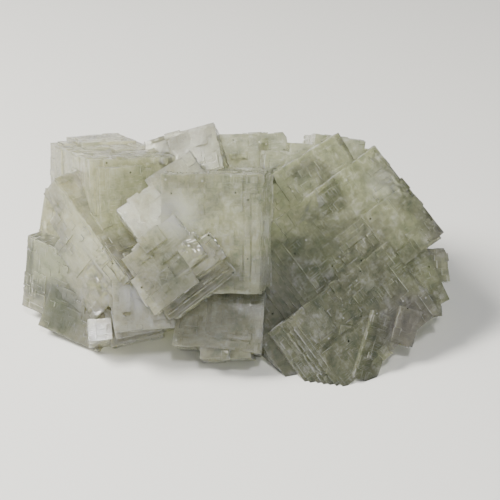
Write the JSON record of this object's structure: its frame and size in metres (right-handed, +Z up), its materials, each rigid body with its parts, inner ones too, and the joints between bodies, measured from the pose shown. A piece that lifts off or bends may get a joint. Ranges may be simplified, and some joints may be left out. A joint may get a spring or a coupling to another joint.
{
  "type": "fluorite specimen",
  "caption": "Hand-sized group of pale green, see-through cubic fluorite crystals grown together, with stepped, tiled faces, resting on its flat underside.",
  "frame": {"origin": "under the middle of the specimen's bounding box, in the plane of its flat underside", "axes": "+X along the specimen's longest side, +Y from its show side to its far side, +Z up from the surface that it rests on"},
  "size_m": [0.0938, 0.0594, 0.0426],
  "materials": {
    "fluorite": "pale green fluorite, see-through with milky veils; natural cube faces with a soft gloss, frosted steps and growth lines"
  },
  "bodies": {
    "root": {"fluorite_cluster": "fluorite"}
  },
  "joints": []
}
